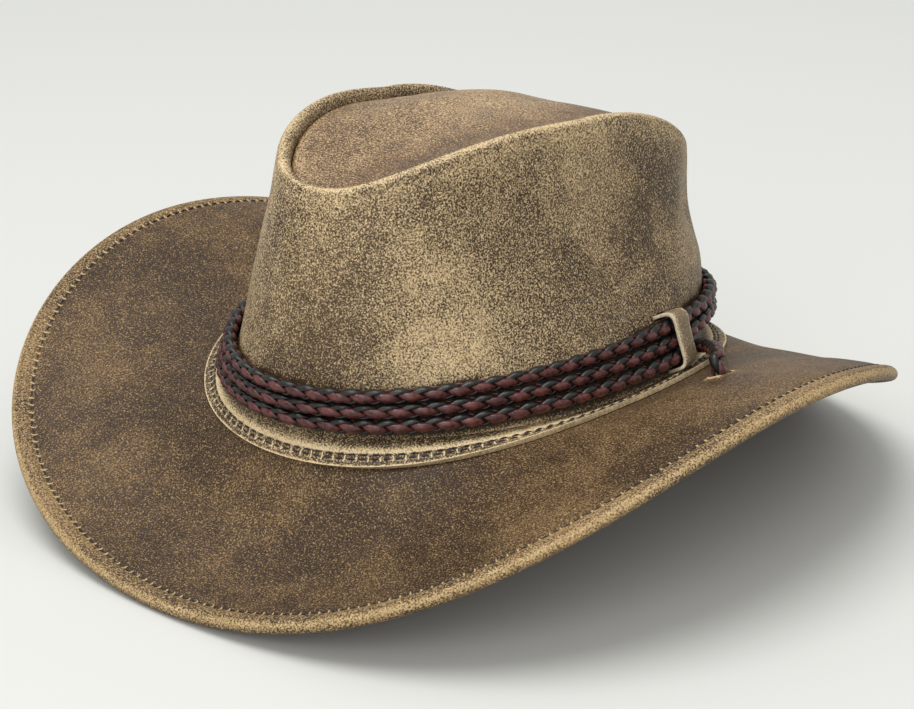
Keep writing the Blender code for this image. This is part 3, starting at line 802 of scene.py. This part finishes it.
# Keepers
# Two short straps, one on each side, each passed through two slits of the crown and closed inside.
# They lie over the cords like belt loops and show their pale raw edges.
CORD = 5.7
CORD_PITCH = 5.4
CORD_LEVEL = 6.75
PASSES = 3
CORD_OUT = 3.4
STRAP = 1.4
STRAP_WIDTH = 9.5
STRAP_GAP = 0.55
STRAP_REACH = CORD / 2 + GAP + STRAP / 2  # from the middle of a cord to the middle of the strap
STRAP_LOW = CORD_LEVEL - STRAP_REACH
STRAP_HIGH = CORD_LEVEL + (PASSES - 1) * CORD_PITCH + STRAP_REACH
SLOT_LENGTH = 11.4  # the two slits of each strap in the crown
SLOT_WIDTH = 2.9
SLOT_DEPTH = 2.4 * LEATHER
KEEPER_ANGLE = 72.0
STRAP_COLUMNS = 10
STRAP_STEPS = 14  # for each bend and each straight of the loop
STRAP_SLACK = 0.4
STRAP_BENDS = (1.6, 3.2, 4.6)  # at the wall, below and above
STRAP_RISE = 0.6  # the upper bend stands up and out a little
STRAP_LEAN = 0.5
STRAP_CUP = 0.5
STRAP_FLARE = 0.10
STRAP_CURL = 1.1


def keeper_strap(name, side):
    """A closed strip that follows the loop, a little curled along its edges and flared at the
    top. A corner of the loop has a height, a distance out of the wall and a bend."""
    outside = CORD_OUT + STRAP_SLACK + STRAP_REACH
    inside = -LEATHER - STRAP_GAP - STRAP / 2
    at_wall, below, above = STRAP_BENDS
    corners = [(STRAP_LOW, inside, at_wall), (STRAP_LOW, outside, below),
               (STRAP_HIGH + STRAP_RISE, outside + STRAP_LEAN, above),
               (STRAP_HIGH, inside, at_wall)]
    route = []
    for k in range(4):
        before, here, after = (np.array(corners[(k + j) % 4][:2]) for j in (-1, 0, 1))
        bend = corners[k][2]
        enters = here + unit(before - here) * bend
        leaves = here + unit(after - here) * bend
        for t in np.linspace(0.0, 1.0, STRAP_STEPS):
            route.append(enters * (1 - t) ** 2 + here * 2 * t * (1 - t) + leaves * t * t)
        until = after + unit(here - after) * corners[(k + 1) % 4][2]
        for t in np.linspace(0.0, 1.0, STRAP_STEPS)[1:-1]:
            route.append(leaves + (until - leaves) * t)
    u = np.array(side * math.radians(KEEPER_ANGLE))
    points = []
    for height, out in route:
        share = wall_share(u, height)
        normal, along = wall_axes(u, share)
        showing = np.clip((out - 2.0) / 3.0, 0.0, 1.0)
        upper = showing * np.clip((height - 16.0) / 8.0, 0.0, 1.0)
        line = []
        for across in np.linspace(-0.5, 0.5, STRAP_COLUMNS):
            cupped = showing * STRAP_CUP * (1.0 - 4.0 * across * across)
            flare = 1.0 + STRAP_FLARE * upper
            curl = upper * max(0.0, 2 * abs(across) - 0.55) * STRAP_CURL
            shift = along * across * STRAP_WIDTH * flare
            line.append(on_wall(u, share) + normal * (out + cupped + curl) + shift)
        points.append(line)
    count = len(points)
    points = np.array(points)
    faces = []
    for i in range(count):
        j = (i + 1) % count
        for k in range(STRAP_COLUMNS - 1):
            a = i * STRAP_COLUMNS + k
            b = j * STRAP_COLUMNS + k
            faces.append((a, a + 1, b + 1, b))
    strap = mesh_piece(name, points.reshape(-1, 3), faces, [keeper_grain, flesh_side, strap_edge])
    wear_and_shade_layer = strap.data.attributes.new("wear_and_shade", "FLOAT", "POINT")
    edge_wear = np.tile(np.abs(np.linspace(-1.0, 1.0, STRAP_COLUMNS)) ** 4 * 0.7, count)
    wear_and_shade_layer.data.foreach_set("value", edge_wear)
    thicken(strap, STRAP, 0.0)
    return strap


strap_edge = bare_leather("strap_edge", srgb(196, 178, 146), srgb(240, 226, 200), 0.8)
keeper_grain = distressed_leather(
    "keeper_grain", srgb(112, 95, 71), srgb(138, 120, 92), srgb(172, 152, 120), srgb(222, 206, 174),
    cover=0.10, patch=0.30, gloss=0.55)
for side, name, stands_for in ((-1, "strap_right", "keeper_right"),
                               (1, "strap_left", "keeper_left")):
    strap = keeper_strap(name, side)
    u = np.array(side * math.radians(KEEPER_ANGLE))
    for height in (STRAP_LOW, STRAP_HIGH):
        centre = over_wall(u, height, -LEATHER / 2)
        out, along = wall_axes(u, wall_share(u, height))
        slit(crown, centre, out, along, SLOT_LENGTH, SLOT_WIDTH, SLOT_DEPTH, cut_edge)
    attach(strap, "root")
    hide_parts(stands_for)

# Sweatband
# A strip of smooth lining leather that stands against the head. It is sewn in along its lower edge
# and free above, so the keepers' inner ends lie behind it.
SWEAT_LEATHER = 1.4
SWEAT_HEIGHT = 36.0
SWEAT_FOOT = 0.45
SWEAT_COLUMNS = 300
SWEAT_ROWS = 20
SWEAT_DENTS = ((30.0, 0.5),)
SWEAT_SEWN = 0.1  # share of the strip that is drawn to the wall by its seam


def sweat_line(share):
    """Height and depth of the strip, from its free upper edge (0) to its sewn foot (1)."""
    stand_off = LEATHER + 2 * STRAP_GAP + STRAP + SWEAT_LEATHER / 2
    sewn = np.clip((share - 1.0 + SWEAT_SEWN) / SWEAT_SEWN, 0.0, 1.0)
    height = SWEAT_HEIGHT + (SWEAT_FOOT - SWEAT_HEIGHT) * share
    return height, stand_off + (LEATHER + GAP + SWEAT_LEATHER / 2 - stand_off) * sewn


def sweat_place(u, row):
    share = row / (SWEAT_ROWS - 1)
    height, depth = sweat_line(share)
    points = over_wall(u, height, -depth)
    slack = (rolling(points, SWEAT_DENTS) * (1.0 - share)).clip(0, 1)
    points -= wall_outward(u, wall_share(u, height)) * slack[:, None]
    return points, 0.2 * hump(share, 0.0, 0.06), np.stack([u, share], -1)


sweat_grain = distressed_leather(
    "sweat_grain", srgb(52, 38, 27), srgb(78, 58, 42), srgb(100, 78, 56), srgb(150, 124, 92),
    cover=0.0, patch=0.2, gloss=0.4)
sweat_flesh = bare_leather("sweat_flesh", srgb(92, 72, 54), srgb(130, 106, 80), 0.85)
sweatband = leather_sheet("sweat_strip", SWEAT_COLUMNS, SWEAT_ROWS,
                          sweat_place, (sweat_grain, sweat_flesh, cut_edge))
thicken(sweatband, SWEAT_LEATHER, 0.0)
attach(sweatband, "root")
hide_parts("sweatband")

# Hat band
# One long cord, braided round from four flat laces, two burgundy and two black. It comes up through
# the right slit, lies three times round the crown under the keepers and goes down the left slit.
BAND_START_ANGLE = 65.0
TAIL_LEAVES = 7.5
TAIL_ARRIVES = 3.5
TAIL_ARCH = 8.5
TAIL_CLEARS = 5.4
TAIL_DRIFT = 2.0
TAIL_STEPS = 30
DROP_STEPS = 12  # through the slit
WINDING_STEPS = 640
LAY = 17.6  # length of cord in which a lace goes once round
LACE_WIDTH = 4.1
LACE_THICK = 1.6
LACE_RADIUS = 1.9
LACE_PHASE = -0.08  # where round the cord the burgundy laces lie on top, from straight out
LACE_WAVE = 0.38
LACE_DWELL = 0.43  # how much a lace runs along the cord where it lies on top
LACE_CUP = 0.65  # how far a lace's edges bend round the cord
LACE_SIDES = 8
LACE_STEPS = 18  # for each lay


def band_level(turn):
    """The winding climbs a level only while it passes the front."""
    climb = math.radians(2 * BAND_START_ANGLE)
    level = 0.0
    for lap in range(1, PASSES):
        passed = np.clip((turn - (2 * math.pi * lap - climb)) / climb, 0.0, 1.0)
        level = level + 0.5 - 0.5 * np.cos(math.pi * passed)
    return level


def tail(side, end, before):
    """Points from the end of the winding to the cord's end under its slit."""
    at = np.array(side * math.radians(SLIT_ANGLE))
    run = unit(end - before)
    under = on_brim(at, SLIT_DISTANCE, -BRIM_LEATHER - CORD)
    over = on_brim(at, SLIT_DISTANCE, CORD)
    out = base_outward(np.array(side * math.radians(BAND_START_ANGLE)))
    clear = TAIL_CLEARS + CORD_PITCH * (1 + side) / 2
    leaves = end + run * TAIL_LEAVES + out * clear
    arrives = on_brim(at, SLIT_DISTANCE, TAIL_ARCH) + run * TAIL_ARRIVES + out * TAIL_DRIFT
    t = np.linspace(0.0, 1.0, TAIL_STEPS)[1:, None]
    s = 1 - t
    curve = end * s ** 3 + leaves * 3 * t * s ** 2 + arrives * 3 * t * t * s + over * t ** 3
    drop = np.linspace(0.0, 1.0, DROP_STEPS)[1:, None]
    return np.concatenate([curve, over + (under - over) * drop])


def band_route():
    start = math.radians(BAND_START_ANGLE)
    total = 2 * math.pi * PASSES - 2 * start
    turn = np.linspace(0.0, total, WINDING_STEPS)
    wound = over_wall(-start - turn, CORD_LEVEL + CORD_PITCH * band_level(turn), CORD_OUT)
    first = tail(-1, wound[0], wound[1])
    last = tail(1, wound[-1], wound[-2])
    lengths = [run_lengths(run)[-1] for run in (first, wound, last)]
    shares = (lengths[0] / sum(lengths), 1.0 - lengths[2] / sum(lengths))
    return np.concatenate([first[::-1], wound, last]), shares


def even_route(points, step):
    """The same route with points a fixed step apart, slightly smoothed."""
    lengths = run_lengths(points)
    at = np.linspace(0.0, lengths[-1], max(8, round(lengths[-1] / step)))
    even = np.stack([np.interp(at, lengths, points[:, k]) for k in range(3)], -1)
    for _ in range(3):
        even[1:-1] = even[1:-1] * 0.5 + (even[:-2] + even[2:]) * 0.25
    return at, even


def braid(name, route, materials, wound):
    """Four flat laces laid round a route: two turn one way, two the other, each over one and under
    one. Along the winding they keep their place round the cord, and the tails just follow on."""
    at, centre = even_route(route, LAY / LACE_STEPS)
    tangent = unit(np.gradient(centre, axis=0))
    outward = np.stack([centre[:, 0] * HEAD_LENGTH, centre[:, 1] * HEAD_WIDTH, 0.0 * at], -1)
    side = square_to(tangent, outward)
    first, last = round(wound[0] * len(at)), round(wound[1] * len(at)) - 1
    for i in range(first - 1, -1, -1):
        side[i] = square_to(tangent[i], side[i + 1])
    for i in range(last + 1, len(at)):
        side[i] = square_to(tangent[i], side[i - 1])
    other = np.cross(tangent, side)
    phase = 2 * math.pi * at / LAY
    outline = [(math.cos(a), math.sin(a)) for a in np.arange(LACE_SIDES) * 2 * math.pi / LACE_SIDES]
    points = []
    faces = []
    which = []
    for lace in range(4):
        colour = lace // 2
        way = 1.0 - 2.0 * colour
        on_top = phase - colour * math.pi / 2
        angle = way * (on_top - LACE_DWELL * np.sin(2 * on_top)) + math.pi * (lace % 2) + LACE_PHASE
        angle = angle - colour * math.pi / 2
        radius = LACE_RADIUS + LACE_WAVE * np.cos(2 * on_top)
        half = LACE_WIDTH / 2 * (0.86 + 0.14 * np.cos(2 * on_top))[:, None]
        radial = side * np.cos(angle)[:, None] + other * np.sin(angle)[:, None]
        path = centre + radial * radius[:, None]
        run = unit(np.gradient(path, axis=0))
        flat = unit(np.cross(radial, run))
        thick = np.cross(run, flat)
        ring = np.stack([path + flat * half * x + thick * (y * LACE_THICK / 2 - LACE_CUP * x * x)
                         for x, y in outline], 1)
        points.append(ring.reshape(-1, 3))
        start = lace * len(centre) * LACE_SIDES
        end = start + (len(centre) - 1) * LACE_SIDES
        for ring_start in range(start, end, LACE_SIDES):
            for k in range(LACE_SIDES):
                a = ring_start + k
                b = ring_start + (k + 1) % LACE_SIDES
                faces.append((a, b, b + LACE_SIDES, a + LACE_SIDES))
        faces.append(tuple(range(start, start + LACE_SIDES))[::-1])
        faces.append(tuple(range(end, end + LACE_SIDES)))
        which += [colour] * (end - start + 2)
    return mesh_piece(name, np.concatenate(points), faces, materials, which)


def lace_leather(name, deep, face, sheen):
    """Smooth dyed lace with a slight polish and fine creases."""
    material, tree, shader, place = new_material(name)
    creases = grown(tree, place, 520.0, 4.0, 0.65)
    clouds = grown(tree, place, 130.0, 3.0, 0.6)
    pattern = plus(tree, sums(tree, "MULTIPLY", creases, 0.55), clouds, 0.45)
    two_tone(tree, shader, pattern, 0.36, 0.64, deep, face)
    dulled(tree, shader, creases, 0.3, 0.7, sheen)
    raised(tree, shader, creases, 0.35, 0.3)
    return material


burgundy_lace = lace_leather("burgundy_lace", srgb(58, 28, 27), srgb(106, 56, 52), 0.26)
black_lace = lace_leather("black_lace", srgb(14, 13, 12), srgb(34, 32, 29), 0.26)
route, wound = band_route()
hat_band = braid("braided_band", route, [burgundy_lace, black_lace], wound)
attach(hat_band, "root")
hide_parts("hat_band")

# Band knots
# Under the brim each end of the cord is tied in a tight overhand knot, too thick for its slit, so
# the band can't pull out.
KNOT_HEIGHT = 8.0
KNOT_RING = 2.7
KNOT_SWELL = 1.7
KNOT_STEPS = 120


def knot_route(side):
    at = np.array(side * math.radians(SLIT_ANGLE))
    top = on_brim(at, SLIT_DISTANCE, -BRIM_LEATHER - CORD - GAP)
    down = unit(on_brim(at, SLIT_DISTANCE, -1.0) - on_brim(at, SLIT_DISTANCE, 0.0))
    across = unit(np.cross(down, (0.0, 1.0, 0.0)))
    third = np.cross(down, across)
    t = np.linspace(0.0, 2 * math.pi, KNOT_STEPS)
    ring = KNOT_RING + KNOT_SWELL * np.cos(3 * t)
    flat = across * (ring * np.cos(2 * t))[:, None] + third * (ring * np.sin(2 * t))[:, None]
    return top + flat + down * (KNOT_HEIGHT / 2 + KNOT_SWELL * np.sin(3 * t))[:, None]


for side, name, stands_for in ((-1, "knot_right", "band_knot_right"),
                               (1, "knot_left", "band_knot_left")):
    knot = braid(name, knot_route(side), [burgundy_lace, black_lace], (0.0, 0.02))
    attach(knot, "root")
    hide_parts(stands_for)

# Floor, light and camera
# A plain pale floor under the brim's lowest points, a large soft light overhead and a weaker one
# from the back, and a long lens from behind the wearer's right shoulder.
FLOOR_SIZE = 12.0
CAMERA_AZIMUTH = 224.15
CAMERA_ELEVATION = 21.69
CAMERA_DISTANCE = 1.10106
CAMERA_PAN = -0.00419
CAMERA_TILT = 0.00057
CAMERA_ROLL = -1.97
FOCAL_PIXELS = 2793.31
IMAGE_WIDTH = 914
SENSOR = 36.0
SURROUND = 0.6  # strength of the even light from all sides

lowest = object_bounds()[0][2]
bpy.ops.object.select_all(action="DESELECT")
bpy.ops.mesh.primitive_plane_add(size=FLOOR_SIZE, location=(0.0, 0.0, lowest))
floor = bpy.context.object
floor.name = "floor"
pale, _, pale_shader, _ = new_material("pale_floor")
pale_shader.inputs["Base Color"].default_value = srgb(222, 223, 218)
pale_shader.inputs["Roughness"].default_value = 0.9
floor.data.materials.append(pale)

world = bpy.data.worlds.new("studio")
world.use_nodes = True
surround = world.node_tree.nodes["Background"]
surround.inputs["Color"].default_value = (1.0, 1.0, 1.0, 1.0)
surround.inputs["Strength"].default_value = SURROUND
bpy.context.scene.world = world


def soft_light(name, place, target, size, power):
    lamp = bpy.data.lights.new(name, "AREA")
    lamp.shape = "DISK"
    lamp.size = size
    lamp.energy = power
    holder = bpy.data.objects.new(name, lamp)
    holder.location = place
    aim = Vector(target) - Vector(place)
    holder.rotation_euler = aim.to_track_quat("-Z", "Y").to_euler()
    bpy.context.scene.collection.objects.link(holder)


soft_light("overhead", (0.1, 0.3, 1.9), (0.0, 0.0, 0.03), 1.4, 22.0)
soft_light("window", (-0.8, 1.5, 1.0), (0.0, 0.0, 0.03), 1.2, 8.0)

turn = math.radians(CAMERA_AZIMUTH)
rise = math.radians(CAMERA_ELEVATION)
back = Vector((math.sin(turn) * math.cos(rise), -math.cos(turn) * math.cos(rise), math.sin(rise)))
eye = back * CAMERA_DISTANCE
level = (-back).cross(Vector((0.0, 0.0, 1.0))).normalized()
target = level * CAMERA_PAN + level.cross(-back) * CAMERA_TILT
forward = (target - eye).normalized()
right = forward.cross(Vector((0.0, 0.0, 1.0))).normalized()
upward = right.cross(forward)
roll = math.radians(CAMERA_ROLL)
turned_right = right * math.cos(roll) + upward * math.sin(roll)
turned_up = upward * math.cos(roll) - right * math.sin(roll)
lens = bpy.data.cameras.new("camera")
lens.sensor_fit = "HORIZONTAL"
lens.sensor_width = SENSOR
lens.lens = FOCAL_PIXELS * SENSOR / IMAGE_WIDTH
camera = bpy.data.objects.new("camera", lens)
axes = (turned_right, turned_up, -forward, eye)
camera.matrix_world = Matrix([[axis[k] for axis in axes] for k in range(3)]
                             + [[0.0, 0.0, 0.0, 1.0]])
bpy.context.scene.collection.objects.link(camera)
bpy.context.scene.camera = camera
bpy.context.scene.view_settings.view_transform = "Standard"
